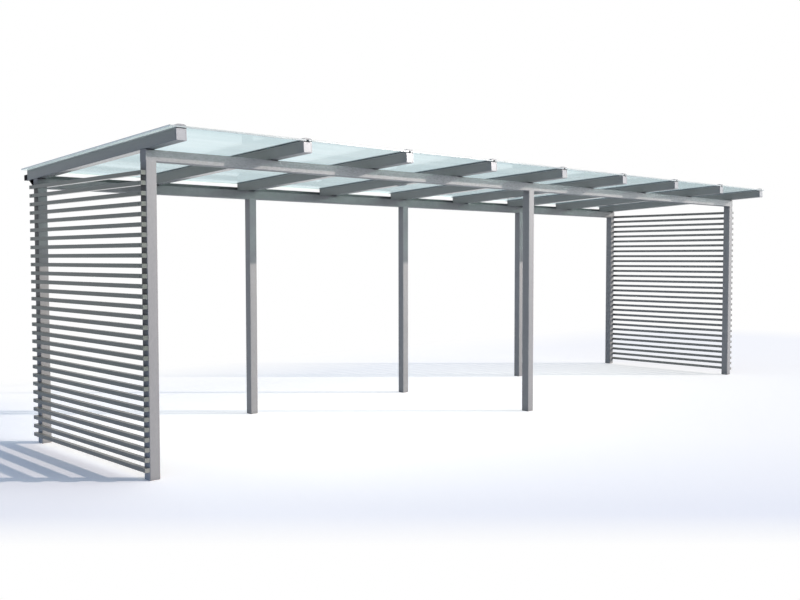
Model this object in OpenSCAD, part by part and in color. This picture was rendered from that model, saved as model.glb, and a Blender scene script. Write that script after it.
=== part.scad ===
// Free-standing bicycle shelter: a lean-to glass roof on rafters, two beams and
// eight square posts, with a wall of level slats at each end.
// Millimetres, +Z up. X runs along the shelter, -Y is the open, higher side.
// The origin lies on the ground under the middle of the whole shelter.

/* [Overall] */
// Length of the glass roof, end to end
roof_length = 8460; // [6400:10:10000]
// Depth of the roof with its gutter, measured along its slope
roof_depth = 2460; // [2400:5:2700]
// Height from the ground to the top of the front end of the cap strips
roof_height = 2400; // [2300:10:2900]
// Fall of the roof towards the rear, in degrees
roof_pitch = 2.8; // [2:0.1:4]

/* [Frame] */
// Side of the square tube that posts, beams and rafters are made of
tube_size = 80; // [60:1:100]
// Wall of that tube
tube_wall = 3; // [2:0.5:5]
// Plate that closes the end of a tube
end_plate = 3; // [2:0.5:6]
// From the front of the front posts to the rear of the rear posts
frame_depth = 1870; // [1700:10:1940]

/* [Roof] */
// Level distance that the rafters reach out in front of the front beam
front_overhang = 400; // [350:5:415]
// Distance that the glass reaches out past the end rafters
side_overhang = 45; // [36:1:60]
// Distance that the glass and the cap strips reach out over the gutter
glass_drip = 10; // [4:1:25]
// Thickness of the glass panes
glass_thickness = 12; // [6:0.5:16]
// Gap between two neighbouring panes
pane_gap = 20; // [18:1:30]
// Thickness of the rubber seal between a rafter and the glass
seal_thickness = 4; // [2:0.5:8]
// Distance that the edge of the seal stays back from the rafter's edge
seal_inset = 1; // [0:0.5:18]

/* [Cap strips] */
// Width of a cap strip at its foot, on the glass
cap_width = 76; // [60:1:90]
// Width of the flat top of a cap strip
cap_top_width = 50; // [30:1:56]
// Height of a cap strip above the glass
cap_height = 11; // [6:0.5:16]
// Height of the upright sides of a cap strip, below its slanted sides
cap_side = 2; // [1:0.5:4]
// Width of the web that reaches down between two panes
cap_web = 12; // [8:1:16]

/* [Gutter] */
// Depth of the gutter, front to rear
gutter_depth = 65; // [40:5:95]
// Height of the gutter
gutter_height = 45; // [35:1:60]
// Height of the gutter's underside above the underside of the rafters
gutter_lift = 6; // [0:1:20]
// Wall of the gutter
gutter_wall = 2; // [1.5:0.5:3]

/* [End walls] */
// Slats in each end wall
slat_count = 30; // [10:1:30]
// Height of a slat
slat_height = 30; // [20:1:45]
// Thickness of a slat, outwards from the posts
slat_thickness = 36; // [20:1:40]
// Wall of the slat's tube
slat_wall = 2; // [1.5:0.5:4]
// Height from the ground to the underside of the lowest slat
slat_clearance = 60; // [30:5:120]
// Distance from the top of the rear posts down to the underside of the top slat
slat_top_drop = 6; // [0:1:60]
// Distance that the slats stay back from the front of the front post
slat_front_inset = 2; // [0:1:40]

/* [Hidden] */

// Rafters and rear posts, as many as the list above names
rafter_count = 9;
rear_post_count = 5;

// Lengths and middles along X
frame_length = roof_length - 2 * side_overhang;
end_x = frame_length / 2;
end_post_x = end_x - tube_size / 2;
rafter_pitch = 2 * end_post_x / (rafter_count - 1);
rear_pitch = 2 * end_post_x / (rear_post_count - 1);

// Levels above a rafter's underside, square to the slope
seal_level = tube_size;
glass_level = seal_level + seal_thickness;
cap_level = glass_level + glass_thickness;
roof_stack = cap_level + cap_height;

// Lengths along the slope. The gutter closes the depth of the roof.
rafter_length = roof_depth - gutter_depth;
glass_length = rafter_length + glass_drip;
gutter_top = gutter_lift + gutter_height;

// The rafters rest on the upper rear edge of each beam. Distances along the slope
// start at the front ends of the rafters, the glass and the cap strips.
front_seat = (front_overhang + tube_size) / cos(roof_pitch);
front_top = roof_height - roof_stack * cos(roof_pitch) - front_seat * sin(roof_pitch);
rear_top = front_top - (frame_depth - tube_size) * tan(roof_pitch);

// Places along Y: the whole roof, seen from above, is centred on the origin
slope_front = -(roof_depth * cos(roof_pitch) + gutter_top * sin(roof_pitch)) / 2;
post_front = slope_front + front_overhang;
post_rear = post_front + frame_depth;

// Height from one slat to the next: the slats fill the end wall evenly
rear_post_height = rear_top - tube_size;
slat_pitch = (rear_post_height - slat_top_drop - slat_clearance) / (slat_count - 1);

metal_grey = [0.56, 0.57, 0.58];
slat_grey = [0.46, 0.47, 0.48];
cap_grey = [0.66, 0.67, 0.68];
gutter_black = [0.12, 0.12, 0.13];
seal_grey = [0.30, 0.30, 0.30];
glass_tint = [0.72, 0.85, 0.85, 0.45];

function rafter_x(number) = -end_post_x + (number - 1) * rafter_pitch;

function rear_post_x(number) = -end_post_x + (number - 1) * rear_pitch;

// A box whose X is centred, with its front lower edge on the origin
module centred_box(width, depth, height) {
    translate([-width / 2, 0, 0]) cube([width, depth, height]);
}

// Square tube along Z, closed by a plate at both ends
module upright_tube(height) {
    difference() {
        centred_box(tube_size, tube_size, height);
        translate([0, tube_wall, end_plate])
            centred_box(tube_size - 2 * tube_wall, tube_size - 2 * tube_wall,
                height - 2 * end_plate);
    }
}

// Square tube along X, closed by a plate at both ends
module long_tube(length) {
    difference() {
        centred_box(length, tube_size, tube_size);
        translate([0, tube_wall, tube_wall])
            centred_box(length - 2 * end_plate, tube_size - 2 * tube_wall,
                tube_size - 2 * tube_wall);
    }
}

// Puts its children on the rafters' underside: Y runs down the slope from the
// front ends of the rafters, and Z is square to the slope
module on_slope() {
    translate([0, slope_front, front_top + front_seat * sin(roof_pitch)])
        rotate([-roof_pitch, 0, 0])
            children();
}

module front_post(x) {
    color(metal_grey)
        translate([x, post_front, 0])
            upright_tube(front_top - tube_size);
}

module rear_post(x) {
    color(metal_grey)
        translate([x, post_rear - tube_size, 0])
            upright_tube(rear_post_height);
}

module front_beam() {
    color(metal_grey)
        translate([0, post_front, front_top - tube_size])
            long_tube(frame_length);
}

module rear_beam() {
    color(metal_grey)
        translate([0, post_rear - tube_size, rear_top - tube_size])
            long_tube(frame_length);
}

// Square tube down the slope, closed by a plate at both ends
module rafter(x) {
    color(metal_grey)
        on_slope()
            translate([x, 0, 0])
                difference() {
                    centred_box(tube_size, rafter_length, tube_size);
                    translate([0, end_plate, tube_wall])
                        centred_box(tube_size - 2 * tube_wall,
                            rafter_length - 2 * end_plate,
                            tube_size - 2 * tube_wall);
                }
}

// One rubber seal on top of each rafter
module glazing_seals() {
    color(seal_grey)
        on_slope()
            for (number = [1 : rafter_count])
                translate([rafter_x(number), 0, seal_level])
                    centred_box(tube_size - 2 * seal_inset, rafter_length,
                        seal_thickness);
}

// Pane between two rafters. The first and the last reach out past the end rafters.
module glass_pane(number) {
    left = number == 1 ? -roof_length / 2 : rafter_x(number) + pane_gap / 2;
    right = number == rafter_count - 1
        ? roof_length / 2
        : rafter_x(number + 1) - pane_gap / 2;
    color(glass_tint)
        on_slope()
            translate([left, 0, glass_level])
                cube([right - left, glass_length, glass_thickness]);
}

// Outline of a cap strip across the slope, with its foot on the glass
module cap_outline(has_web) {
    translate([0, cap_level])
        polygon([
            [-cap_width / 2, 0], [cap_width / 2, 0],
            [cap_width / 2, cap_side], [cap_top_width / 2, cap_height],
            [-cap_top_width / 2, cap_height], [-cap_width / 2, cap_side]
        ]);
    if (has_web)
        translate([-cap_web / 2, glass_level])
            square([cap_web, cap_side + glass_thickness]);
}

// Strip that holds the panes down. Between two panes it has a web that stands
// on the seal, and on the end rafters it lies flat on the glass.
module cap_strip(number) {
    color(cap_grey)
        on_slope()
            translate([rafter_x(number), glass_length, 0])
                rotate([90, 0, 0])
                    linear_extrude(glass_length)
                        cap_outline(number > 1 && number < rafter_count);
}

// Open channel across the rear ends of the rafters
module gutter() {
    color(gutter_black)
        on_slope()
            translate([0, rafter_length, gutter_lift])
                difference() {
                    centred_box(frame_length, gutter_depth, gutter_height);
                    translate([0, gutter_wall, gutter_wall])
                        centred_box(frame_length - 2 * gutter_wall,
                            gutter_depth - 2 * gutter_wall, gutter_height);
                }
}

// One closed tube of an end wall, along Y, with its inner side on X = 0
module slat() {
    slat_length = frame_depth - slat_front_inset;
    difference() {
        cube([slat_thickness, slat_length, slat_height]);
        translate([slat_wall, slat_wall, slat_wall])
            cube([slat_thickness - 2 * slat_wall, slat_length - 2 * slat_wall,
                slat_height - 2 * slat_wall]);
    }
}

// Slats on the outer faces of the end posts, on the side that side = -1 or 1 gives
module slat_wall_on(side) {
    color(slat_grey)
        for (row = [0 : slat_count - 1])
            translate([side > 0 ? end_x : -end_x - slat_thickness,
                post_front + slat_front_inset,
                slat_clearance + row * slat_pitch])
                slat();
}

module left_slat_wall() { slat_wall_on(-1); }

module right_slat_wall() { slat_wall_on(1); }

front_post(-end_post_x);  // front_post_left
front_post(0);  // front_post_middle
front_post(end_post_x);  // front_post_right
rear_post(rear_post_x(1));  // rear_post_1
rear_post(rear_post_x(2));  // rear_post_2
rear_post(rear_post_x(3));  // rear_post_3
rear_post(rear_post_x(4));  // rear_post_4
rear_post(rear_post_x(5));  // rear_post_5
front_beam();
rear_beam();
rafter(rafter_x(1));  // rafter_1
rafter(rafter_x(2));  // rafter_2
rafter(rafter_x(3));  // rafter_3
rafter(rafter_x(4));  // rafter_4
rafter(rafter_x(5));  // rafter_5
rafter(rafter_x(6));  // rafter_6
rafter(rafter_x(7));  // rafter_7
rafter(rafter_x(8));  // rafter_8
rafter(rafter_x(9));  // rafter_9
glazing_seals();
glass_pane(1);  // glass_pane_1
glass_pane(2);  // glass_pane_2
glass_pane(3);  // glass_pane_3
glass_pane(4);  // glass_pane_4
glass_pane(5);  // glass_pane_5
glass_pane(6);  // glass_pane_6
glass_pane(7);  // glass_pane_7
glass_pane(8);  // glass_pane_8
cap_strip(1);  // cap_strip_1
cap_strip(2);  // cap_strip_2
cap_strip(3);  // cap_strip_3
cap_strip(4);  // cap_strip_4
cap_strip(5);  // cap_strip_5
cap_strip(6);  // cap_strip_6
cap_strip(7);  // cap_strip_7
cap_strip(8);  // cap_strip_8
cap_strip(9);  // cap_strip_9
gutter();
left_slat_wall();
right_slat_wall();
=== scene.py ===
import math

import bmesh
import bpy
from mathutils import Matrix, Vector


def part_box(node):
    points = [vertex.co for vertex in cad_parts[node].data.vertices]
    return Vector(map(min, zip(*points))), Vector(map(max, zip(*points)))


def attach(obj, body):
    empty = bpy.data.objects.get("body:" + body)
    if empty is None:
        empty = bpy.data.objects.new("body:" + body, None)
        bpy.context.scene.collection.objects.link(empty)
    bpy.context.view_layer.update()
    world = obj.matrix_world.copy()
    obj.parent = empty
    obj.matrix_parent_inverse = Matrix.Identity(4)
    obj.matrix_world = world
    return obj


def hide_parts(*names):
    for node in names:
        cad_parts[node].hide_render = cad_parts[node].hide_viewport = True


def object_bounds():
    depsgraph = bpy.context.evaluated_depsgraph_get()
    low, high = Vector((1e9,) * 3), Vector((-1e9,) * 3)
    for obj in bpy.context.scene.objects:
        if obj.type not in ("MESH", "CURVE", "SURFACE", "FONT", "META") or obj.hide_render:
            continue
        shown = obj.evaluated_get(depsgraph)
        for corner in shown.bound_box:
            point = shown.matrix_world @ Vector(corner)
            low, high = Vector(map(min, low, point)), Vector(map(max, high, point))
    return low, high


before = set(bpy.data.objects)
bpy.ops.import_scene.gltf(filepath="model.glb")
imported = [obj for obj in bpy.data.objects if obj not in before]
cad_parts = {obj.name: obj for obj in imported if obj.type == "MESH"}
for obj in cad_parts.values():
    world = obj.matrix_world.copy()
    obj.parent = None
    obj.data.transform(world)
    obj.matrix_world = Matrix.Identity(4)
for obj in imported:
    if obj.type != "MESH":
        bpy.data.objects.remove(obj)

# Open bicycle shelter: square tube frame, glass lean-to roof, slatted end walls.
# Everything is in metres. X runs along the shelter and -Y is its open front.

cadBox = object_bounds()

# The rafters rest on the upper rear edge of both beams, which gives the fall of the roof
frontBeamLow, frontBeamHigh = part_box("front_beam")
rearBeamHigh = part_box("rear_beam")[1]
fall = math.atan2(frontBeamHigh.z - rearBeamHigh.z, rearBeamHigh.y - frontBeamHigh.y)
fallCos = math.cos(fall)
fallSin = math.sin(fall)
tubeSide = frontBeamHigh.z - frontBeamLow.z
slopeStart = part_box("rafter_1")[0].y
slopeTop = frontBeamHigh.z + (frontBeamHigh.y - slopeStart) * math.tan(fall)
rafterNames = [f"rafter_{number}" for number in range(1, 10)]
postNames = ["front_post_left", "front_post_middle", "front_post_right"]
postNames += [f"rear_post_{number}" for number in range(1, 6)]

# How edges and faces are picked: two places nearer than the hairline count as one, and a
# direction lies squarely or roughly along an axis from these shares on
hairline = 0.001
squarely = 0.99
roughly = 0.9


def middleX(node):
    low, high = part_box(node)
    return (low.x + high.x) / 2


def slopeBox(node):
    # a node's start and end down the slope, and its lower and upper level square to it
    low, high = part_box(node)
    inner = 0.0
    # repeated until all four agree, because each of them leans on the one before
    for _ in range(30):
        start = (low.y - slopeStart - inner * fallSin) / fallCos
        outer = (high.z - slopeTop + start * fallSin) / fallCos
        end = (high.y - slopeStart - outer * fallSin) / fallCos
        inner = (low.z - slopeTop + end * fallSin) / fallCos
    return start, end, inner, outer


# small modelling helpers
def clearSelection():
    if bpy.context.mode != "OBJECT":
        bpy.ops.object.mode_set(mode="OBJECT")
    bpy.ops.object.select_all(action="DESELECT")


def takeOnly(*pieces):
    clearSelection()
    for piece in pieces:
        piece.select_set(True)
    bpy.context.view_layer.objects.active = pieces[0]


def applyPlace():
    bpy.ops.object.transform_apply(location=True, rotation=True, scale=True)


def addBlock(name, low, high):
    clearSelection()
    middle = [(a + b) / 2 for a, b in zip(low, high)]
    size = [b - a for a, b in zip(low, high)]
    bpy.ops.mesh.primitive_cube_add(size=1, location=middle, scale=size)
    block = bpy.context.active_object
    block.name = name
    block.data.name = name
    applyPlace()
    return block


def addRod(name, radius, length, sides):
    clearSelection()
    bpy.ops.mesh.primitive_cylinder_add(
        vertices=sides, radius=radius, depth=length, location=(0, 0, length / 2))
    rod = bpy.context.active_object
    rod.name = name
    rod.data.name = name
    applyPlace()
    return rod


def pickFaces(piece, test):
    # goes into edit mode with only the faces that pass test(middle, normal) selected
    takeOnly(piece)
    bpy.ops.object.mode_set(mode="EDIT")
    bpy.ops.mesh.select_mode(type="FACE")
    bpy.ops.mesh.select_all(action="DESELECT")
    mesh = bmesh.from_edit_mesh(piece.data)
    for face in mesh.faces:
        face.select_set(test(face.calc_center_median(), face.normal))
    bmesh.update_edit_mesh(piece.data)


def pickEdges(piece, test):
    # the same for edges, with test(middle, direction)
    takeOnly(piece)
    bpy.ops.object.mode_set(mode="EDIT")
    bpy.ops.mesh.select_mode(type="EDGE")
    bpy.ops.mesh.select_all(action="DESELECT")
    mesh = bmesh.from_edit_mesh(piece.data)
    for edge in mesh.edges:
        along = (edge.verts[1].co - edge.verts[0].co).normalized()
        middle = (edge.verts[0].co + edge.verts[1].co) / 2
        edge.select_set(test(middle, along))
    bmesh.update_edit_mesh(piece.data)


def leaveEdit():
    bpy.ops.object.mode_set(mode="OBJECT")


def cutThrough(piece, place, across):
    # new edges all round the piece where the plane meets it
    takeOnly(piece)
    bpy.ops.object.mode_set(mode="EDIT")
    bpy.ops.mesh.select_all(action="SELECT")
    bpy.ops.mesh.bisect(plane_co=place, plane_no=across)
    leaveEdit()


def push(offset):
    bpy.ops.mesh.extrude_region_move(TRANSFORM_OT_translate={"value": offset})


def softShade(piece, degrees=40):
    takeOnly(piece)
    bpy.ops.object.shade_smooth_by_angle(angle=math.radians(degrees))
    bpy.ops.object.modifier_add(type="WEIGHTED_NORMAL")
    piece.modifiers[-1].keep_sharp = True
    bpy.ops.object.modifier_apply(modifier=piece.modifiers[-1].name)


def layOnSlope(piece):
    # a piece made level, with Y down the rafters from their front ends, turned to the fall
    takeOnly(piece)
    piece.location = (0, slopeStart, slopeTop)
    piece.rotation_euler = (-fall, 0, 0)
    applyPlace()
    return piece


def copyMoved(pattern, name, offset):
    twin = pattern.copy()
    twin.data = pattern.data.copy()
    twin.name = name
    twin.data.name = name
    bpy.context.collection.objects.link(twin)
    takeOnly(twin)
    twin.location = offset
    applyPlace()
    return twin


def spread(pattern, places, name):
    # a copy of the pattern at each place, joined to one piece; the pattern itself goes
    copies = []
    for place in places:
        twin = pattern.copy()
        twin.data = pattern.data.copy()
        bpy.context.collection.objects.link(twin)
        twin.matrix_world = place
        copies.append(twin)
    takeOnly(*copies)
    bpy.ops.object.join()
    whole = bpy.context.active_object
    whole.name = name
    whole.data.name = name
    applyPlace()
    bpy.data.objects.remove(pattern)
    return whole


def handIn(piece, finishes, nodes=(), choose=None):
    # choose(face) gives the number of the finish that a face takes
    piece.data.materials.clear()
    for finish in finishes:
        piece.data.materials.append(finish)
    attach(piece, "root")
    if nodes:
        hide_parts(*nodes)
    if choose:
        for face in piece.data.polygons:
            face.material_index = int(choose(face))


# shader node groups that several finishes share
def newGroup(name, inputs, outputs):
    tree = bpy.data.node_groups.new(name, "ShaderNodeTree")
    for label, kind, value in inputs:
        socket = tree.interface.new_socket(name=label, in_out="INPUT", socket_type=kind)
        if value is not None:
            socket.default_value = value
    for label, kind in outputs:
        tree.interface.new_socket(name=label, in_out="OUTPUT", socket_type=kind)
    return tree, tree.nodes.new("NodeGroupInput"), tree.nodes.new("NodeGroupOutput")


def addNode(tree, kind, settings=None, values=None):
    made = tree.nodes.new(kind)
    for key, value in (settings or {}).items():
        setattr(made, key, value)
    for key, value in (values or {}).items():
        made.inputs[key].default_value = value
    return made


def combine(tree, operation, first, second, clamp=False):
    made = addNode(tree, "ShaderNodeMath", {"operation": operation, "use_clamp": clamp})
    tree.links.new(first, made.inputs[0])
    tree.links.new(second, made.inputs[1])
    return made.outputs["Value"]


def ramp(tree, value, fromLow, fromHigh, toLow=0.0, toHigh=1.0):
    changed = addNode(tree, "ShaderNodeMapRange", values={
        "From Min": fromLow, "From Max": fromHigh, "To Min": toLow, "To Max": toHigh})
    tree.links.new(value, changed.inputs["Value"])
    return changed.outputs["Result"]


def buildCoatGrain():
    # fine speckle of a sprayed coat, drawn out along the tube, over soft larger clouds
    tree, given, made = newGroup(
        "coatGrain",
        [("Vector", "NodeSocketVector", None), ("Fine", "NodeSocketFloat", 160.0),
         ("Cloud", "NodeSocketFloat", 2.5)],
        [("Tone", "NodeSocketFloat"), ("Height", "NodeSocketFloat")])
    fine = addNode(tree, "ShaderNodeTexNoise", values={"Detail": 3.0, "Roughness": 0.6})
    cloud = addNode(tree, "ShaderNodeTexNoise", values={"Detail": 4.0, "Roughness": 0.55})
    blend = addNode(tree, "ShaderNodeMix", {"data_type": "FLOAT"}, {"Factor": 0.4})
    tree.links.new(given.outputs["Vector"], fine.inputs["Vector"])
    tree.links.new(given.outputs["Fine"], fine.inputs["Scale"])
    tree.links.new(given.outputs["Vector"], cloud.inputs["Vector"])
    tree.links.new(given.outputs["Cloud"], cloud.inputs["Scale"])
    tree.links.new(fine.outputs["Fac"], blend.inputs["A"])
    tree.links.new(cloud.outputs["Fac"], blend.inputs["B"])
    tree.links.new(blend.outputs["Result"], made.inputs["Tone"])
    tree.links.new(fine.outputs["Fac"], made.inputs["Height"])
    return tree


# from and to: how far a worn edge turns, and which of its patches are worn
wearing = {"turn": (0.995, 0.86), "patch": (0.42, 0.66), "patchDetail": 3.0}


def buildEdgeWear():
    # where the surface turns: the rounded normal leaves the flat one
    tree, given, made = newGroup(
        "edgeWear",
        [("Vector", "NodeSocketVector", None), ("Reach", "NodeSocketFloat", 0.004),
         ("Break Up", "NodeSocketFloat", 45.0)],
        [("Mask", "NodeSocketFloat")])
    rounded = addNode(tree, "ShaderNodeBevel", {"samples": 4})
    surface = addNode(tree, "ShaderNodeNewGeometry")
    compare = addNode(tree, "ShaderNodeVectorMath", {"operation": "DOT_PRODUCT"})
    patches = addNode(tree, "ShaderNodeTexNoise", values={"Detail": wearing["patchDetail"]})
    tree.links.new(given.outputs["Reach"], rounded.inputs["Radius"])
    tree.links.new(rounded.outputs["Normal"], compare.inputs[0])
    tree.links.new(surface.outputs["True Normal"], compare.inputs[1])
    tree.links.new(given.outputs["Vector"], patches.inputs["Vector"])
    tree.links.new(given.outputs["Break Up"], patches.inputs["Scale"])
    turned = ramp(tree, compare.outputs["Value"], *wearing["turn"])
    worn = ramp(tree, patches.outputs["Fac"], *wearing["patch"])
    tree.links.new(combine(tree, "MULTIPLY", turned, worn, True), made.inputs["Mask"])
    return tree


# from and to: how far a face has to look up before dust stays on it
dusting = {"upward": (0.5, 1.0), "scale": 9.0, "detail": 5.0, "roughness": 0.65}


def buildRestingDust():
    # thin dust that stays on faces that look up
    tree, given, made = newGroup(
        "restingDust",
        [("Vector", "NodeSocketVector", None), ("Amount", "NodeSocketFloat", 0.3)],
        [("Mask", "NodeSocketFloat")])
    surface = addNode(tree, "ShaderNodeNewGeometry")
    split = addNode(tree, "ShaderNodeSeparateXYZ")
    drift = addNode(tree, "ShaderNodeTexNoise", values={
        "Scale": dusting["scale"], "Detail": dusting["detail"],
        "Roughness": dusting["roughness"]})
    tree.links.new(surface.outputs["True Normal"], split.inputs["Vector"])
    tree.links.new(given.outputs["Vector"], drift.inputs["Vector"])
    upward = ramp(tree, split.outputs["Z"], *dusting["upward"])
    thin = combine(tree, "MULTIPLY", upward, drift.outputs["Fac"])
    amount = combine(tree, "MULTIPLY", thin, given.outputs["Amount"], True)
    tree.links.new(amount, made.inputs["Mask"])
    return tree


# from and to: where the painted shade thins out in patches, and how much
shadeBreakUp = {"patch": (0.3, 0.6), "share": (0.75, 1.0), "scale": 14.0, "detail": 3.0}


def buildPaintedShade():
    # painted shade: the coat darkens where pieces stand close together, by ambient occlusion
    tree, given, made = newGroup(
        "paintedShade",
        [("Vector", "NodeSocketVector", None), ("Reach", "NodeSocketFloat", 0.06),
         ("Open", "NodeSocketFloat", 0.8), ("Closed", "NodeSocketFloat", 0.45)],
        [("Mask", "NodeSocketFloat")])
    near = addNode(tree, "ShaderNodeAmbientOcclusion", {"samples": 6})
    shadeLevel = addNode(tree, "ShaderNodeMapRange")
    patches = addNode(tree, "ShaderNodeTexNoise", values={
        "Scale": shadeBreakUp["scale"], "Detail": shadeBreakUp["detail"]})
    tree.links.new(given.outputs["Reach"], near.inputs["Distance"])
    tree.links.new(near.outputs["AO"], shadeLevel.inputs["Value"])
    tree.links.new(given.outputs["Open"], shadeLevel.inputs["From Min"])
    tree.links.new(given.outputs["Closed"], shadeLevel.inputs["From Max"])
    tree.links.new(given.outputs["Vector"], patches.inputs["Vector"])
    uneven = ramp(tree, patches.outputs["Fac"], *shadeBreakUp["patch"], *shadeBreakUp["share"])
    tree.links.new(combine(tree, "MULTIPLY", shadeLevel.outputs["Result"], uneven, True),
                   made.inputs["Mask"])
    return tree


coatGrain = buildCoatGrain()
edgeWear = buildEdgeWear()
restingDust = buildRestingDust()
paintedShade = buildPaintedShade()


# finishes
def startFinish(name, stretch=(1, 1, 1)):
    # gives the places on the surface plain, and drawn out by the stretch
    finish = bpy.data.materials.new(name)
    finish.use_nodes = True
    tree = finish.node_tree
    tree.nodes.clear()
    output = tree.nodes.new("ShaderNodeOutputMaterial")
    shader = tree.nodes.new("ShaderNodeBsdfPrincipled")
    place = tree.nodes.new("ShaderNodeTexCoord")
    mapping = addNode(tree, "ShaderNodeMapping", values={"Scale": stretch})
    tree.links.new(place.outputs["Object"], mapping.inputs["Vector"])
    tree.links.new(shader.outputs["BSDF"], output.inputs["Surface"])
    return finish, tree, shader, place.outputs["Object"], mapping.outputs["Vector"]


def addGroup(tree, group, vector, values):
    used = tree.nodes.new("ShaderNodeGroup")
    used.node_tree = group
    tree.links.new(vector, used.inputs["Vector"])
    for key, value in values.items():
        used.inputs[key].default_value = value
    return used


def mixColour(tree, factor, first, second):
    mix = tree.nodes.new("ShaderNodeMix")
    mix.data_type = "RGBA"
    if isinstance(first, tuple):
        mix.inputs["A"].default_value = (*first, 1)
    else:
        tree.links.new(first, mix.inputs["A"])
    if isinstance(second, tuple):
        mix.inputs["B"].default_value = (*second, 1)
    else:
        tree.links.new(second, mix.inputs["B"])
    tree.links.new(factor, mix.inputs["Factor"])
    return mix.outputs["Result"]


def toneRamp(tree, grain, low, high):
    # the middle part of the grain's tone, from low to high
    return ramp(tree, grain.outputs["Tone"], 0.35, 0.65, low, high)


def mixShaders(tree, factor, first, second):
    mix = tree.nodes.new("ShaderNodeMixShader")
    tree.links.new(factor, mix.inputs["Fac"])
    tree.links.new(first, mix.inputs[1])
    tree.links.new(second, mix.inputs[2])
    return mix.outputs["Shader"]


def scaled(colour, share):
    return tuple(part * share for part in colour)


def addBump(tree, height, strength, distance, shader):
    bump = addNode(tree, "ShaderNodeBump", values={"Strength": strength, "Distance": distance})
    tree.links.new(height, bump.inputs["Height"])
    tree.links.new(bump.outputs["Normal"], shader.inputs["Normal"])


def coatedMetal(name, look, stretch):
    finish, tree, shader, spot, drawn = startFinish(name, stretch)
    grain = addGroup(tree, coatGrain, drawn,
                     {"Fine": look["grainScale"], "Cloud": look["cloudScale"]})
    wear = addGroup(tree, edgeWear, spot, {"Reach": look["wearReach"]})
    dust = addGroup(tree, restingDust, spot, {"Amount": look["dust"]})
    wide = addGroup(tree, paintedShade, spot, {
        "Reach": look["shelterReach"], "Open": look["shelterOpen"],
        "Closed": look["shelterClosed"]})
    near = addGroup(tree, paintedShade, spot, {"Reach": look["creviceReach"]})
    colour = mixColour(tree, toneRamp(tree, grain, 0, 1), look["dark"], look["light"])
    colour = mixColour(tree, wear.outputs["Mask"], colour, look["edge"])
    colour = mixColour(tree, dust.outputs["Mask"], colour, look["dustColour"])
    # painted shade: darker under other pieces and in the corners between them
    colour = mixColour(tree, wide.outputs["Mask"], colour,
                       scaled(look["dark"], look["sheltered"]))
    colour = mixColour(tree, near.outputs["Mask"], colour,
                       scaled(look["dark"], look["crevice"]))
    if "floorLightTop" in look:
        # painted light from the floor: the coat turns paler towards the bottom
        level = tree.nodes.new("ShaderNodeSeparateXYZ")
        tree.links.new(spot, level.inputs["Vector"])
        floorLight = ramp(tree, level.outputs["Z"], look["floorLightTop"], 0)
        colour = mixColour(tree, floorLight, colour, look["floorLightColour"])
    tree.links.new(colour, shader.inputs["Base Color"])
    rough = toneRamp(tree, grain, look["roughness"] - look["roughSpread"],
                     look["roughness"] + look["roughSpread"])
    tree.links.new(rough, shader.inputs["Roughness"])
    shader.inputs["Metallic"].default_value = look["metallic"]
    shader.inputs["Specular IOR Level"].default_value = look["gloss"]
    addBump(tree, grain.outputs["Height"], look["bump"], look["bumpDepth"], shader)
    return finish


frameLook = {
    "dark": (0.235, 0.228, 0.225), "light": (0.275, 0.262, 0.258), "edge": (0.40, 0.39, 0.38),
    "dustColour": (0.42, 0.41, 0.38), "dust": 0.35, "wearReach": 0.005,
    "grainScale": 120.0, "cloudScale": 2.2, "bump": 0.3, "bumpDepth": 0.0006,
    "roughness": 0.34, "roughSpread": 0.06, "metallic": 0.0, "gloss": 0.35,
    # how dark the painted shade makes the coat under other pieces, and in the corners between them
    "sheltered": 0.5, "shelterReach": 0.4, "shelterOpen": 0.93, "shelterClosed": 0.5,
    "crevice": 0.2, "creviceReach": 0.06}
postLook = dict(frameLook, dark=(0.245, 0.231, 0.224), light=(0.283, 0.264, 0.255),
                roughness=0.42, gloss=0.42, sheltered=1.0, crevice=0.8)
# painted light: the front beam takes a lighter copy of the frame coat
frontBeamLook = dict(frameLook, dark=(0.268, 0.255, 0.249), light=(0.312, 0.294, 0.286),
                     roughness=0.29, gloss=0.38, sheltered=0.76)
# painted shade: the rear beam takes more of the painted shade under the roof
rearBeamLook = dict(frameLook, dark=(0.235, 0.222, 0.219), light=(0.275, 0.256, 0.252),
                    sheltered=0.42)
rafterLook = dict(frameLook, dark=(0.247, 0.242, 0.23), light=(0.289, 0.279, 0.263),
                  sheltered=1.0, crevice=1.0)
# painted shade: rafter 1 takes a darker, greener copy of the rafter coat
leftRafterLook = dict(rafterLook, dark=(0.165, 0.178, 0.175), light=(0.192, 0.205, 0.20))
# out of the weather the coat keeps its gloss; the darker coat is painted shade, behind the slats
# and on the beams' ends and undersides
glossyLook = dict(rafterLook, roughness=0.14, gloss=0.6)
paintedShadeLook = dict(frameLook, dark=(0.16, 0.165, 0.168), light=(0.20, 0.205, 0.208),
                 roughness=0.45, gloss=0.26, sheltered=0.6, floorLightTop=1.3,
                 floorLightColour=(0.38, 0.39, 0.42))
slatLook = dict(frameLook, dark=(0.132, 0.139, 0.117), light=(0.16, 0.168, 0.14),
                edge=(0.30, 0.30, 0.29), wearReach=0.003, floorLightTop=0.75,
                floorLightColour=(0.262, 0.25, 0.22))
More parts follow.
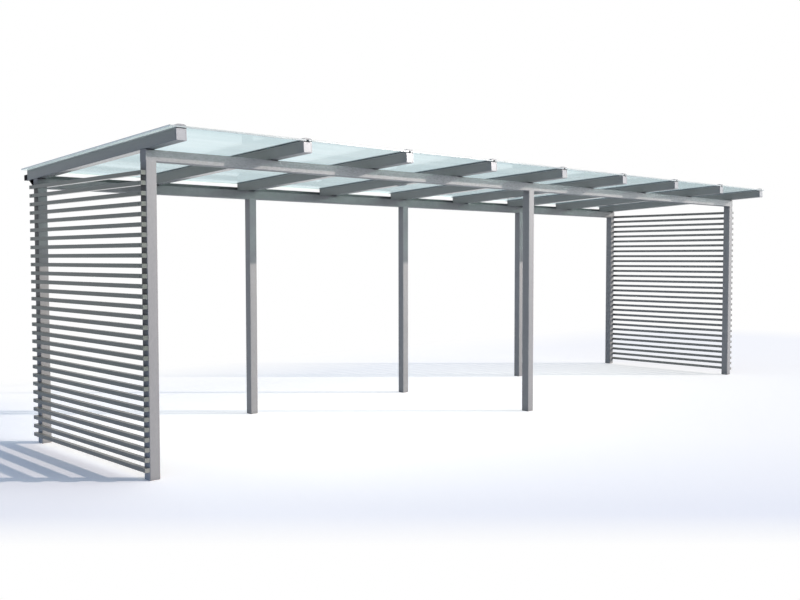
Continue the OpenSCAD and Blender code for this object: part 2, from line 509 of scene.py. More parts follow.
# painted light: the right wall takes a lighter, warmer copy of the slat coat
rightSlatLook = dict(slatLook, dark=(0.215, 0.20, 0.185), light=(0.26, 0.24, 0.222))
slatUnderLook = dict(slatLook, roughness=0.14, gloss=0.6)
gutterLook = dict(frameLook, dark=(0.10, 0.10, 0.10), light=(0.14, 0.14, 0.14),
                  edge=(0.22, 0.22, 0.22), roughness=0.5, dust=0.2)
nearBlackLook = dict(gutterLook, dark=(0.008, 0.008, 0.009), light=(0.016, 0.016, 0.017),
                   edge=(0.02, 0.02, 0.02), roughness=0.7, dust=0.0, gloss=0.06)
capLook = dict(frameLook, dark=(0.36, 0.365, 0.37), light=(0.45, 0.45, 0.45),
               edge=(0.66, 0.66, 0.66), roughness=0.38, metallic=0.25, grainScale=220.0,
               wearReach=0.002, dust=0.3, bump=0.2)
capEndLook = dict(frameLook, dark=(0.185, 0.178, 0.182), light=(0.24, 0.232, 0.236),
                  roughness=0.38, gloss=0.35, crevice=0.85, sheltered=0.9)
endLook = dict(frameLook, dark=(0.27, 0.261, 0.262), light=(0.33, 0.315, 0.317),
               roughness=0.26, grainScale=420.0)
screwLook = dict(capLook, dark=(0.42, 0.42, 0.42), light=(0.55, 0.55, 0.54), roughness=0.3,
                 metallic=1.0, wearReach=0.001)

# the grain is drawn out along the tubes, or lies evenly on small pieces
upright = (1, 1, 0.35)
lengthways = (0.35, 1, 1)
downSlope = (1, 0.35, 1)
evenly = (1, 1, 1)
coatUpright = coatedMetal("coatOnPosts", postLook, upright)
coatLong = coatedMetal("coatOnFrontBeam", frontBeamLook, lengthways)
coatRear = coatedMetal("coatOnRearBeam", rearBeamLook, lengthways)
coatSlope = coatedMetal("coatOnRafters", rafterLook, downSlope)
coatLeftRafter = coatedMetal("coatOnLeftRafter", leftRafterLook, downSlope)
coatGlossy = coatedMetal("coatUnderRafters", glossyLook, downSlope)
coatPaintedShade = coatedMetal("paintedShadeCoat", paintedShadeLook, upright)
coatSlats = coatedMetal("coatOnSlats", slatLook, downSlope)
coatRightSlats = coatedMetal("coatOnRightSlats", rightSlatLook, downSlope)
coatUnderSlats = coatedMetal("coatUnderSlats", slatUnderLook, downSlope)
coatGutter = coatedMetal("coatOnGutter", gutterLook, lengthways)
# near-black: the packers' own colour, and painted shade on the cleats, the gutter's ends and the
# seals' front faces
nearBlackAndShade = coatedMetal("nearBlackAndPaintedShade", nearBlackLook, evenly)
satinCaps = coatedMetal("satinAluminium", capLook, (1, 0.12, 1))
darkerCapEnds = coatedMetal("darkerCapEnds", capEndLook, evenly)
coatEnds = coatedMetal("coatOnEndPlates", endLook, evenly)
brightScrews = coatedMetal("stainlessScrews", screwLook, evenly)

rubberLook = {
    "dark": (0.38, 0.385, 0.385), "light": (0.46, 0.46, 0.46), "roughness": (0.7, 0.9),
    "grainScale": 300.0, "cloudScale": 6.0, "bump": 0.4, "bumpDepth": 0.0004,
    "stretch": (1, 0.2, 1)}


def buildRubber():
    finish, tree, shader, _, drawn = startFinish("sealRubber", rubberLook["stretch"])
    grain = addGroup(tree, coatGrain, drawn,
                     {"Fine": rubberLook["grainScale"], "Cloud": rubberLook["cloudScale"]})
    colour = mixColour(tree, toneRamp(tree, grain, 0, 1),
                       rubberLook["dark"], rubberLook["light"])
    tree.links.new(colour, shader.inputs["Base Color"])
    tree.links.new(toneRamp(tree, grain, *rubberLook["roughness"]), shader.inputs["Roughness"])
    addBump(tree, grain.outputs["Height"], rubberLook["bump"], rubberLook["bumpDepth"], shader)
    return finish


glassLook = {
    "clear": (0.665, 0.805, 0.84), "pale": (0.75, 0.88, 0.91), "roughness": 0.03,
    "bend": 1.03, "hemClear": (0.80, 0.93, 0.89), "hemPale": (0.85, 0.97, 0.93),
    "hemRoughness": 0.15, "hemBend": 1.5, "roughSpread": 0.05, "stretch": (0.5, 3.2, 1),
    "streakScale": 1.3, "streakBand": (0.42, 0.62), "roughBand": (0.4, 0.65),
    "waveScale": 2.0, "wave": 0.12, "waveDepth": 0.004, "lampTint": (0.26, 0.36, 0.33),
    # the narrow faces, and how many times paler the lightest parts of their grain are
    "edge": (0.86, 0.90, 0.82), "edgePaler": 1.08, "frontEdge": (0.25, 0.275, 0.27),
    "frontEdgePaler": 1.15, "arrisTone": (0.24, 0.285, 0.275), "arrisPaler": 1.7,
    "arris": 0.0035, "corner": 0.001,
    "edgeRoughness": (0.12, 0.22), "edgeGloss": 0.8, "edgeGrain": 90.0, "edgeCloud": 3.0,
    "edgeBump": 0.2, "edgeBumpDepth": 0.0003}


def letLightThrough(tree, shader):
    # light from lamps passes the pane and takes its tint
    output = shader.outputs["BSDF"].links[0].to_node
    path = tree.nodes.new("ShaderNodeLightPath")
    clear = addNode(tree, "ShaderNodeBsdfTransparent",
                    values={"Color": (*glassLook["lampTint"], 1)})
    mixed = mixShaders(tree, path.outputs["Is Shadow Ray"], shader.outputs["BSDF"],
                       clear.outputs["BSDF"])
    tree.links.new(mixed, output.inputs["Surface"])


def buildGlass(name, clear, pale, roughness, bend):
    # streaks lie along the shelter, as rain film and faint roller waves do
    finish, tree, shader, _, drawn = startFinish(name, glassLook["stretch"])
    streaks = addNode(tree, "ShaderNodeTexNoise", values={
        "Scale": glassLook["streakScale"], "Detail": 3.0, "Roughness": 0.5})
    waves = addNode(tree, "ShaderNodeTexNoise", values={
        "Scale": glassLook["waveScale"], "Detail": 1.0})
    tree.links.new(drawn, streaks.inputs["Vector"])
    tree.links.new(drawn, waves.inputs["Vector"])
    tone = ramp(tree, streaks.outputs["Fac"], *glassLook["streakBand"])
    tree.links.new(mixColour(tree, tone, clear, pale), shader.inputs["Base Color"])
    rough = ramp(tree, streaks.outputs["Fac"], *glassLook["roughBand"],
                 roughness, roughness + glassLook["roughSpread"])
    tree.links.new(rough, shader.inputs["Roughness"])
    shader.inputs["Transmission Weight"].default_value = 1.0
    shader.inputs["IOR"].default_value = bend
    addBump(tree, waves.outputs["Fac"], glassLook["wave"], glassLook["waveDepth"], shader)
    letLightThrough(tree, shader)
    return finish


def buildGlassEdge(name, tint, paler):
    # the ground narrow faces round a pane, which hold light like frosted glass
    finish, tree, shader, spot, _ = startFinish(name)
    grain = addGroup(tree, coatGrain, spot,
                     {"Fine": glassLook["edgeGrain"], "Cloud": glassLook["edgeCloud"]})
    colour = mixColour(tree, toneRamp(tree, grain, 0, 1), tint, scaled(tint, paler))
    tree.links.new(colour, shader.inputs["Base Color"])
    rough = toneRamp(tree, grain, *glassLook["edgeRoughness"])
    tree.links.new(rough, shader.inputs["Roughness"])
    shader.inputs["Specular IOR Level"].default_value = glassLook["edgeGloss"]
    addBump(tree, grain.outputs["Height"], glassLook["edgeBump"], glassLook["edgeBumpDepth"],
            shader)
    letLightThrough(tree, shader)
    return finish


sealRubber = buildRubber()
roofGlass = buildGlass("roofGlass", glassLook["clear"], glassLook["pale"],
                       glassLook["roughness"], glassLook["bend"])
hemGlass = buildGlass("hemGlass", glassLook["hemClear"], glassLook["hemPale"],
                      glassLook["hemRoughness"], glassLook["hemBend"])
glassEdge = buildGlassEdge("glassEdge", glassLook["edge"], glassLook["edgePaler"])
# painted shade: the front edges, which face the sun, take a darker copy of the edge finish
frontGlassEdge = buildGlassEdge("frontGlassEdge", glassLook["frontEdge"],
                                glassLook["frontEdgePaler"])
glassArris = buildGlassEdge("glassArris", glassLook["arrisTone"], glassLook["arrisPaler"])
print("finishes ready")


# square tubes: posts, beams and rafters
tube = {"corner": 0.005, "cornerSteps": 3, "wall": 0.003, "mouth": 0.05, "plateSink": 0.0008}


def roundLongEdges(piece, axis, offset, steps):
    pickEdges(piece, lambda middle, along: abs(along[axis]) > squarely)
    bpy.ops.mesh.bevel(offset=offset, segments=steps, affect="EDGES")
    leaveEdit()


def sinkEndPlate(piece, axis, side):
    # the welded plate that closes a tube's end lies a little inside its wall
    pickFaces(piece, lambda middle, normal: normal[axis] * side > squarely)
    bpy.ops.mesh.inset(thickness=tube["wall"], depth=-tube["plateSink"])
    leaveEdit()


def makePost(name, node, outward=0):
    # outward is the side of X that bears slats, -1 or 1, or 0 for none
    low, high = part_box(node)
    post = addBlock(name, low, high)
    roundLongEdges(post, 2, tube["corner"], tube["cornerSteps"])
    pickFaces(post, lambda middle, normal: normal.z < -squarely)
    bpy.ops.mesh.inset(thickness=tube["wall"])
    push((0, 0, tube["mouth"]))
    leaveEdit()
    softShade(post)
    # painted shade: the side that bears slats takes the darker coat
    handIn(post, [coatUpright, coatPaintedShade], [node],
           lambda face: face.normal.x * outward > roughly)


makePost("frontPostLeft", "front_post_left", -1)
makePost("frontPostMiddle", "front_post_middle")
makePost("frontPostRight", "front_post_right", 1)
for number in range(1, 6):
    makePost(f"rearPost{number}", f"rear_post_{number}", {1: -1, 5: 1}.get(number, 0))


def makeBeam(name, node, finish):
    low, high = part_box(node)
    beam = addBlock(name, low, high)
    roundLongEdges(beam, 0, tube["corner"], tube["cornerSteps"])
    sinkEndPlate(beam, 0, -1)
    sinkEndPlate(beam, 0, 1)
    softShade(beam)
    # painted shade: the ends and the underside take the darker coat
    handIn(beam, [finish, coatPaintedShade], [node],
           lambda face: abs(face.normal.x) > roughly or face.normal.z < -roughly)


makeBeam("frontBeam", "front_beam", coatLong)
makeBeam("rearBeam", "rear_beam", coatRear)

endPlate = {"thickness": 0.004, "inset": 0.0015, "cornerShare": 0.8, "chamfer": 0.0012,
            "chamferShare": 0.97, "borderShare": 0.84, "dish": 0.0008, "dishShare": 0.98}
rafterEnd = slopeBox("rafter_1")[1]
firstX = middleX("rafter_1")
rafter = addBlock(
    "rafterTube1", (firstX - tubeSide / 2, endPlate["thickness"], 0),
    (firstX + tubeSide / 2, rafterEnd, tubeSide))
roundLongEdges(rafter, 1, tube["corner"], tube["cornerSteps"])
sinkEndPlate(rafter, 1, 1)
beamAt = (frontBeamHigh.y - slopeStart) / fallCos
cutThrough(rafter, (0, beamAt, 0), (0, 1, 0))
underFaces = [face.index for face in rafter.data.polygons
              if face.normal.z < -squarely and face.center.y > beamAt]  # behind the front beam
softShade(rafter)
layOnSlope(rafter)
for number, node in enumerate(rafterNames, 1):
    offset = (middleX(node) - firstX, 0, 0)
    piece = rafter if number == 1 else copyMoved(rafter, f"rafterTube{number}", offset)
    # painted shade: rafter 1 takes its darker coat
    handIn(piece, [coatLeftRafter if number == 1 else coatSlope, coatGlossy],
           [node], lambda face: face.index in underFaces)

# coated plate that closes the front end of each rafter
plate = addBlock(
    "plate", (-tubeSide / 2 + endPlate["inset"], endPlate["chamfer"], endPlate["inset"]),
    (tubeSide / 2 - endPlate["inset"], endPlate["thickness"], tubeSide - endPlate["inset"]))
pickEdges(plate, lambda middle, along: abs(along.y) > squarely)
bpy.ops.mesh.bevel(offset=tube["corner"] * endPlate["cornerShare"],
                   segments=tube["cornerSteps"], affect="EDGES")
leaveEdit()
pickFaces(plate, lambda middle, normal: normal.y < -squarely)
for advance, share in ((-endPlate["chamfer"], endPlate["chamferShare"]),
                       (0, endPlate["borderShare"]),
                       (endPlate["dish"], endPlate["dishShare"])):
    push((0, advance, 0))
    bpy.ops.transform.resize(value=(share, 1, share), center_override=(0, 0, tubeSide / 2))
leaveEdit()
softShade(plate)
plates = spread(plate, [Matrix.Translation((middleX(node), 0, 0)) for node in rafterNames],
                "rafterEndPlates")
layOnSlope(plates)
handIn(plates, [coatEnds])
print("frame tubes ready")


# seats of the rafters on the beams, and welds on the posts
seat = {"width": 0.06, "inset": 0.004, "corner": 0.004, "cornerSteps": 2}


def makeSeatWedges():
    # dark packer in the thin wedge between the level beam and the sloping rafter
    front = -tubeSide + seat["inset"]
    rear = -seat["inset"]
    rearHeight = -rear * math.tan(fall)
    pattern = addBlock("wedge", (-seat["width"] / 2, front, 0),
                       (seat["width"] / 2, rear, rearHeight))
    pickEdges(pattern, lambda middle, along: abs(along.x) > squarely
              and middle.z > rearHeight / 2 and middle.y < (front + rear) / 2)
    bpy.ops.transform.translate(value=(0, 0, (rear - front) * math.tan(fall)))
    leaveEdit()
    roundLongEdges(pattern, 2, seat["corner"], seat["cornerSteps"])
    places = []
    for high in (frontBeamHigh, rearBeamHigh):
        for node in rafterNames:
            places.append(Matrix.Translation((middleX(node), high.y, high.z)))
    wedges = spread(pattern, places, "rafterPackers")
    handIn(wedges, [nearBlackAndShade])


cleat = {"width": 0.078, "reach": 0.092, "footReach": 0.030, "height": 0.048, "plate": 0.005,
         "drop": 0.002, "corner": 0.001}


def makeCleats():
    # tapered cleat in the corner behind the rear beam, under each rafter; its near-black is
    # painted shade
    top = rearBeamHigh.z - cleat["drop"]
    rear = rearBeamHigh.y
    pattern = addBlock("cleat", (-cleat["width"] / 2, rear, top - cleat["height"]),
                       (cleat["width"] / 2, rear + cleat["footReach"], top))
    spare = cleat["reach"] - cleat["footReach"]
    pickEdges(pattern, lambda middle, along: abs(along.x) > squarely
              and middle.z > top - hairline and middle.y > rear + hairline)
    bpy.ops.transform.translate(value=(0, spare, -cleat["reach"] * math.tan(fall)))
    leaveEdit()
    # hollowed from both sides down to a web in its middle
    pickFaces(pattern, lambda middle, normal: abs(normal.x) > squarely)
    bpy.ops.mesh.inset(thickness=cleat["plate"], use_individual=True)
    bpy.ops.mesh.inset(thickness=cleat["corner"], use_individual=True,
                       depth=-cleat["width"] / 2 + cleat["plate"] / 2)
    leaveEdit()
    places = [Matrix.Translation((middleX(node), 0, 0)) for node in rafterNames]
    cleats = spread(pattern, places, "rafterCleats")
    handIn(cleats, [nearBlackAndShade])


weld = {"radius": 0.0035, "sides": 8, "steps": 14, "waist": 0.8, "endGap": 0.06,
        "seamShare": 0.9}


def makePostWelds():
    # a fillet of weld metal on both free sides of each post's top
    length = tubeSide - 2 * tube["corner"]
    bead = addRod("bead", weld["radius"], length, weld["sides"])
    pickEdges(bead, lambda middle, along: abs(along.z) > squarely)
    bpy.ops.mesh.subdivide(number_cuts=weld["steps"])
    leaveEdit()
    pickEdges(bead, lambda middle, along: abs(along.z) < 0.1
              and int(middle.z / length * (weld["steps"] + 1) + 0.5) % 2 == 1
              and hairline < middle.z < length - hairline)
    bpy.ops.transform.resize(value=(weld["waist"], weld["waist"], 1),
                             center_override=(0, 0, 0))
    leaveEdit()
    softShade(bead, 60)
    turn = Matrix.Rotation(math.pi / 2, 4, "X")
    places = []
    for node in postNames:
        low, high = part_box(node)
        for x in (low.x, high.x):
            if abs(x) > cadBox[1][0] - weld["endGap"]:
                continue  # the outer sides of the end posts lie behind the slats
            place = Matrix.Translation((x, high.y - tube["corner"], high.z))
            places.append(place @ turn)
    welds = spread(bead, places, "postWelds")
    handIn(welds, [coatLong])


def makeGroundSeams():
    # weld metal ground flush, where a post's front and rear meet the rounded beam
    size = tube["corner"]
    half = tubeSide / 2 - size
    pattern = addBlock("seam", (-half, 0, 0), (half, size, size))
    pickEdges(pattern, lambda middle, along: abs(along.x) > squarely
              and middle.y > size / 2 and middle.z > size / 2)
    bpy.ops.mesh.bevel(offset=size * weld["seamShare"], segments=1, affect="EDGES")
    leaveEdit()
    turn = Matrix.Rotation(math.pi, 4, "Z")
    places = []
    for node in postNames:
        low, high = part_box(node)
        x = (low.x + high.x) / 2
        places.append(Matrix.Translation((x, low.y, high.z)))
        places.append(Matrix.Translation((x, high.y, high.z)) @ turn)
    seams = spread(pattern, places, "groundSeams")
    handIn(seams, [coatUpright])


makeSeatWedges()
makeCleats()
makePostWelds()
makeGroundSeams()
print("seats, cleats and welds ready")


# roof: seals, glass, clamping strips
seal = {"ribs": 3, "ribHeight": 0.0012, "groove": 0.001}


def makeSeals():
    start, end, inner, outer = slopeBox("glazing_seals")
    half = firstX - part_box("glazing_seals")[0].x
    strip = addBlock("strip", (-half, start, inner), (half, end, outer))
    pickEdges(strip, lambda middle, along: abs(along.x) > squarely)
    bpy.ops.mesh.subdivide(number_cuts=2 * seal["ribs"] + 1)
    leaveEdit()
    share = 2 * half / (2 * seal["ribs"] + 2)
    # the long grooves between the ribs that press against the glass
    pickFaces(strip, lambda middle, normal: normal.z > squarely
              and int((middle.x + half) / share) % 2 == 1
              and abs(middle.x) < half - share)
    bpy.ops.mesh.inset(thickness=seal["groove"], depth=-seal["ribHeight"])
    leaveEdit()
    places = [Matrix.Translation((middleX(node), 0, 0)) for node in rafterNames]
    seals = spread(strip, places, "glazingSeals")
    layOnSlope(seals)
    # painted shade: the seals' front faces are near-black, as a shadow gap
    handIn(seals, [sealRubber, nearBlackAndShade], ["glazing_seals"],
           lambda face: face.normal.y < -roughly)


def makePane(number):
    node = f"glass_pane_{number}"
    start, end, inner, outer = slopeBox(node)
    low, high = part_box(node)
    pane = addBlock(f"glassPane{number}", (low.x, start, inner), (high.x, end, outer))
    pickEdges(pane, lambda middle, along: True)
    bpy.ops.mesh.bevel(offset=glassLook["corner"], segments=1, affect="EDGES")
    leaveEdit()
    arris = outer - glassLook["arris"]
    cutThrough(pane, (0, 0, arris), (0, 0, 1))
    # the underside of an end pane's free edge, outside the rafter, shows as thick glass
    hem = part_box("rafter_9")[1].x
    cutThrough(pane, (-hem if number == 1 else hem, 0, 0), (1, 0, 0))

    def choose(face):
        if face.center.z > arris and abs(face.normal.x) > 0.5:
            return 2
        if face.normal.y < -0.5:
            return 4
        if face.normal.z < -roughly and abs(face.center.x) > hem:
            return 3
        return abs(face.normal.z) < roughly

    handIn(pane, [roofGlass, glassEdge, glassArris, hemGlass, frontGlassEdge], [node],
           choose)
    layOnSlope(pane)


strip = {"footHeight": 0.002, "topShare": 50 / 76, "web": 0.012, "rounding": 0.0008,
         "roundingSteps": 2, "screwEvery": 0.30, "screwFirst": 0.16, "screwRadius": 0.0055,
         "screwHeight": 0.0028}


def makeCapStrip(number):
    node = f"cap_strip_{number}"
    start, end, inner, outer = slopeBox(node)
    low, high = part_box(node)
    x = (low.x + high.x) / 2
    half = (high.x - low.x) / 2
    glassTop = slopeBox("glass_pane_1")[3]
    cap = addBlock(f"capStrip{number}", (x - half, start, glassTop),
                   (x + half, end, glassTop + strip["footHeight"]))
    pickFaces(cap, lambda middle, normal: normal.z > squarely)
    push((0, 0, outer - glassTop - strip["footHeight"]))
    bpy.ops.transform.resize(value=(strip["topShare"], 1, 1),
                             center_override=(x, 0, 0))
    leaveEdit()
    if inner < glassTop - hairline:
        # the web that keeps two panes apart
        pickFaces(cap, lambda middle, normal: normal.z < -squarely)
        bpy.ops.mesh.inset(thickness=half - strip["web"] / 2)
        leaveEdit()
        pickFaces(cap, lambda middle, normal: normal.z < -squarely and abs(middle.x - x) < hairline
                  and abs(middle.y - (start + end) / 2) < 10 * hairline)
        push((0, 0, inner - glassTop))
        leaveEdit()
    pickEdges(cap, lambda middle, along: abs(along.y) > squarely
              and middle.z > glassTop + hairline / 2)
    bpy.ops.mesh.bevel(offset=strip["rounding"], segments=strip["roundingSteps"],
                       affect="EDGES")
    leaveEdit()
    softShade(cap)
    layOnSlope(cap)
    # the end faces take a darker coat
    handIn(cap, [satinCaps, darkerCapEnds], [node],
           lambda face: abs(face.normal.y) > roughly)


# the parts of a screw's head, as shares of its height or radius
panScrew = {"sides": 12, "rounding": 0.45, "roundingSteps": 2, "rim": 0.28,
            "driveDepth": 0.5}


def makePanScrew(name, radius, height):
    # low round head with a sunk drive
    screw = addRod(name, radius, height, panScrew["sides"])
    pickFaces(screw, lambda middle, normal: normal.z > squarely)
    bpy.ops.mesh.bevel(offset=height * panScrew["rounding"],
                       segments=panScrew["roundingSteps"], affect="EDGES")
    leaveEdit()
    pickFaces(screw, lambda middle, normal: normal.z > squarely and middle.z > height * 0.99)
    bpy.ops.mesh.inset(thickness=radius * panScrew["rim"])
    push((0, 0, -height * panScrew["driveDepth"]))
    leaveEdit()
    return screw


def makeCapScrews():
    _, end, _, outer = slopeBox("cap_strip_1")
    screw = makePanScrew("capScrew", strip["screwRadius"], strip["screwHeight"])
    places = []
    count = int((end - 2 * strip["screwFirst"]) / strip["screwEvery"]) + 1
    pitch = (end - 2 * strip["screwFirst"]) / (count - 1)
    for node in rafterNames:
        for row in range(count):
            y = strip["screwFirst"] + row * pitch
            places.append(Matrix.Translation((middleX(node), y, outer)))
    screws = spread(screw, places, "capScrews")
    layOnSlope(screws)
    handIn(screws, [brightScrews])


makeSeals()
for number in range(1, 9):
    makePane(number)
for number in range(1, 10):
    makeCapStrip(number)
makeCapScrews()
print("roof ready")


# gutter
channel = {"wall": 0.002, "lip": 0.007, "lipThickness": 0.002, "bend": 0.003,
           "bendSteps": 3, "screwRadius": 0.005, "screwHeight": 0.0025, "screwLevel": 0.026,
           "screwSpread": 0.02}


def makeGutter():
    start, end, inner, outer = slopeBox("gutter")
    low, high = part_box("gutter")
    gutter = addBlock("gutterChannel", (low.x, start, inner), (high.x, end, outer))
    pickFaces(gutter, lambda middle, normal: normal.z > squarely)
    bpy.ops.mesh.inset(thickness=channel["wall"])
    push((0, 0, -(outer - inner - channel["wall"])))
    leaveEdit()
    # turned-in lips along the front and rear rims
    lipLevel = outer - channel["lipThickness"]
    cutThrough(gutter, (0, 0, lipLevel), (0, 0, 1))
    for side, rim in ((-1, end), (1, start)):
        pickFaces(gutter, lambda middle, normal: middle.z > lipLevel
                  and normal.y * side > squarely
                  and channel["wall"] / 2 < abs(middle.y - rim) < 2 * channel["wall"])
        push((0, side * channel["lip"], 0))
        leaveEdit()
    pickEdges(gutter, lambda middle, along: abs(along.x) > squarely
              and middle.z < inner + hairline / 2
              and min(middle.y - start, end - middle.y) < hairline / 2)
    bpy.ops.mesh.bevel(offset=channel["bend"], segments=channel["bendSteps"],
                       affect="EDGES")
    leaveEdit()
    softShade(gutter)
    layOnSlope(gutter)
    # painted shade: the end faces are near-black, as the shaded inside of an open channel
    handIn(gutter, [coatGutter, nearBlackAndShade], ["gutter"],
           lambda face: abs(face.normal.x) > roughly)
    # screws that hold the gutter to the rafters' ends
    screw = makePanScrew("gutterScrew", channel["screwRadius"], channel["screwHeight"])
    turn = Matrix.Rotation(-math.pi / 2, 4, "X")
    places = []
    for node in rafterNames:
        for aside in (-channel["screwSpread"], channel["screwSpread"]):
            place = Matrix.Translation((middleX(node) + aside, start + channel["wall"],
                                        inner + channel["screwLevel"]))
            places.append(place @ turn)
    screws = spread(screw, places, "gutterScrews")
    layOnSlope(screws)
    handIn(screws, [brightScrews])


makeGutter()
print("gutter ready")


# slatted end walls
slat = {"count": 30, "height": 0.030, "rounding": 0.002, "roundingSteps": 2,
        "plugBorder": 0.0018, "plugSink": 0.0006, "screwRadius": 0.0045, "screwHeight": 0.002}


def makeSlatWall(name, node, outward, finish):
    low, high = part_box(node)
    pitch = (high.z - low.z - slat["height"]) / (slat["count"] - 1)
    pattern = addBlock("slat", low, (high.x, high.y, low.z + slat["height"]))
    roundLongEdges(pattern, 1, slat["rounding"], slat["roundingSteps"])
    for side in (-1, 1):
        pickFaces(pattern, lambda middle, normal: normal.y * side > squarely)
        bpy.ops.mesh.inset(thickness=slat["plugBorder"])
        bpy.ops.mesh.inset(thickness=slat["plugSink"], depth=-slat["plugSink"])
        leaveEdit()
    softShade(pattern)
    places = [Matrix.Translation((0, 0, row * pitch)) for row in range(slat["count"])]
    wall = spread(pattern, places, name)
    handIn(wall, [finish, coatUnderSlats], [node],
           lambda face: face.normal.z < -roughly)
    # one screw through each slat into each of the two end posts
    screw = makePanScrew("slatScrew", slat["screwRadius"], slat["screwHeight"])
    turn = Matrix.Rotation(outward * math.pi / 2, 4, "Y")
    outside = high.x if outward > 0 else low.x
    posts = (frontBeamLow.y + tubeSide / 2, rearBeamHigh.y - tubeSide / 2)
    places = []
    for row in range(slat["count"]):
        z = low.z + slat["height"] / 2 + row * pitch
        for y in posts:
            places.append(Matrix.Translation((outside, y, z)) @ turn)
    screws = spread(screw, places, name + "Screws")
    handIn(screws, [finish])


makeSlatWall("leftSlats", "left_slat_wall", -1, coatSlats)
# painted light: the right wall takes its lighter coat
makeSlatWall("rightSlats", "right_slat_wall", 1, coatRightSlats)
print("end walls ready")


# floor, light and camera
studio = {
    "floorHalf": 90.0, "floorColour": (0.90, 0.92, 0.97), "shownColour": (1.364, 1.259, 1.194),
    "brightColour": (1.66, 1.53, 1.44), "whiteFrom": 8.0, "whiteTo": 12.0,
    "skyLight": (0.215, 0.30, 0.445), "skyStrength": 1.0,
    "sunColour": (1.0, 0.94, 0.90), "sunStrength": 2.85, "sunAngle": 0.6,
    "sunTravel": 136.5, "sunHeight": 15.4, "sunAway": 20.0,
    "glowColour": (0.95, 1.0, 0.99), "glowStrength": 1.5, "glowAngle": 50.0,
    "glowHeight": 15.0}

# where the floor whitens: a direction in the ground, from and to along it, low and high
floorFades = {
    "front": ((0.692, 0.722, 0.0), -4.34, -4.92, 0.0, 1.0),
    "under": ((0.692, 0.722, 0.0), -4.1, -1.8, 0.0, 1.0),
    "side": ((1.0, 0.0, 0.0), -4.5, -3.3, 0.0, 1.0),
    "right": ((0.722, -0.692, 0.0), -1.0, 2.5, 1.0, 0.2),
    "back": ((0.0, 1.0, 0.0), 3.0, 5.0, 0.5, 1.0)}


def seenDirectly(tree):
    # 1 for rays that show the surroundings: to the camera, in a reflection or through glass
    path = tree.nodes.new("ShaderNodeLightPath")
    plain = combine(tree, "MAXIMUM", path.outputs["Is Camera Ray"],
                    path.outputs["Is Glossy Ray"])
    return combine(tree, "MAXIMUM", plain, path.outputs["Is Transmission Ray"])


def floorFade(tree, place, name):
    direction, start, end, low, high = floorFades[name]
    reach = addNode(tree, "ShaderNodeVectorMath", {"operation": "DOT_PRODUCT"})
    reach.inputs[1].default_value = direction
    tree.links.new(place, reach.inputs[0])
    return ramp(tree, reach.outputs["Value"], start, end, low, high)


def makeFloor():
    clearSelection()
    bpy.ops.mesh.primitive_plane_add(size=2 * studio["floorHalf"], location=(0, 0, 0))
    floor = bpy.context.active_object
    floor.name = "floor"
    finish = bpy.data.materials.new("paleFloor")
    finish.use_nodes = True
    tree = finish.node_tree
    tree.nodes.clear()
    output = tree.nodes.new("ShaderNodeOutputMaterial")
    matt = addNode(tree, "ShaderNodeBsdfDiffuse")
    glow = addNode(tree, "ShaderNodeEmission", values={"Strength": 1.0})
    place = tree.nodes.new("ShaderNodeTexCoord").outputs["Object"]
    away = addNode(tree, "ShaderNodeVectorMath", {"operation": "LENGTH"})
    tree.links.new(place, away.inputs[0])
    # painted light: in these zones the floor shows a brighter colour and a white glow, which thin
    # its cast shadows
    far = ramp(tree, away.outputs["Value"], studio["whiteFrom"], studio["whiteTo"])
    # from the open corner inwards: white, a faint blue band, and nearly white again
    inside = combine(tree, "MULTIPLY", floorFade(tree, place, "under"),
                     floorFade(tree, place, "side"))
    brighter = combine(tree, "MULTIPLY", inside, floorFade(tree, place, "right"))
    # the white lies thinner inside, so that shadows still show on it
    eased = combine(tree, "MULTIPLY", inside, floorFade(tree, place, "back"))
    outer = combine(tree, "MAXIMUM", far, floorFade(tree, place, "front"))
    most = combine(tree, "MAXIMUM", outer, eased)
    seen = seenDirectly(tree)
    shownColour = mixColour(tree, brighter, studio["shownColour"], studio["brightColour"])
    colour = mixColour(tree, seen, studio["floorColour"], shownColour)
    tree.links.new(colour, matt.inputs["Color"])
    surface = mixShaders(tree, combine(tree, "MULTIPLY", most, seen),
                         matt.outputs["BSDF"], glow.outputs["Emission"])
    tree.links.new(surface, output.inputs["Surface"])
    floor.data.materials.append(finish)


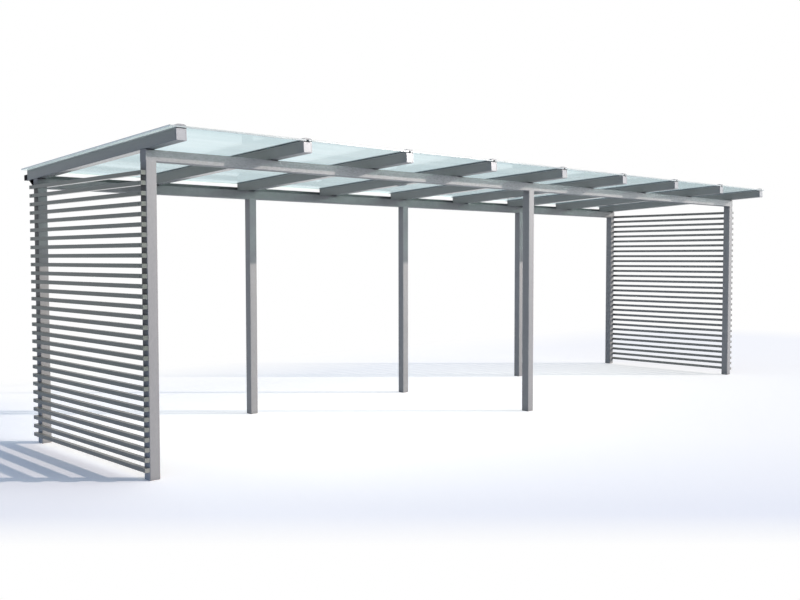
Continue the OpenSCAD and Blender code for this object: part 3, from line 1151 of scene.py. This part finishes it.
def makeSky():
    world = bpy.data.worlds.new("softSky")
    bpy.context.scene.world = world
    world.use_nodes = True
    tree = world.node_tree
    tree.nodes.clear()
    output = tree.nodes.new("ShaderNodeOutputWorld")
    light = addNode(tree, "ShaderNodeBackground", values={
        "Color": (*studio["skyLight"], 1), "Strength": studio["skyStrength"]})
    white = addNode(tree, "ShaderNodeBackground", values={
        "Color": (1, 1, 1, 1), "Strength": 1.0})
    surface = mixShaders(tree, seenDirectly(tree), light.outputs["Background"],
                         white.outputs["Background"])
    tree.links.new(surface, output.inputs["Surface"])


def makeSun(name, colour, strength, angle, height):
    travel = math.radians(studio["sunTravel"])
    height = math.radians(height)
    lamp = bpy.data.lights.new(name, "SUN")
    lamp.energy = strength
    lamp.angle = math.radians(angle)
    lamp.color = colour
    sun = bpy.data.objects.new(name, lamp)
    bpy.context.scene.collection.objects.link(sun)
    ray = Vector((math.cos(travel) * math.cos(height), math.sin(travel) * math.cos(height),
                  -math.sin(height)))
    sun.rotation_euler = ray.to_track_quat("-Z", "Y").to_euler()
    sun.location = -ray * studio["sunAway"]


view = {"place": (-7.3094, -6.5747, 1.5332), "turn": -0.76402, "tilt": -0.04571,
        "roll": -0.0011, "lens": 41.726, "sensor": 36.0, "reach": 500.0}


def makeCamera():
    data = bpy.data.cameras.new("standpoint")
    data.lens = view["lens"]
    data.sensor_width = view["sensor"]
    data.clip_end = view["reach"]
    camera = bpy.data.objects.new("standpoint", data)
    bpy.context.scene.collection.objects.link(camera)
    turned = (Matrix.Rotation(view["turn"], 3, "Z")
              @ Matrix.Rotation(math.pi / 2 + view["tilt"], 3, "X")
              @ Matrix.Rotation(view["roll"], 3, "Z"))
    camera.rotation_euler = turned.to_euler()
    camera.location = view["place"]
    bpy.context.scene.camera = camera


makeFloor()
makeSky()
makeSun("lowSun", studio["sunColour"], studio["sunStrength"], studio["sunAngle"],
        studio["sunHeight"])
makeSun("brightSky", studio["glowColour"], studio["glowStrength"], studio["glowAngle"],
        studio["glowHeight"])
makeCamera()
bpy.context.scene.view_settings.view_transform = "Standard"
print("floor, light and camera ready")
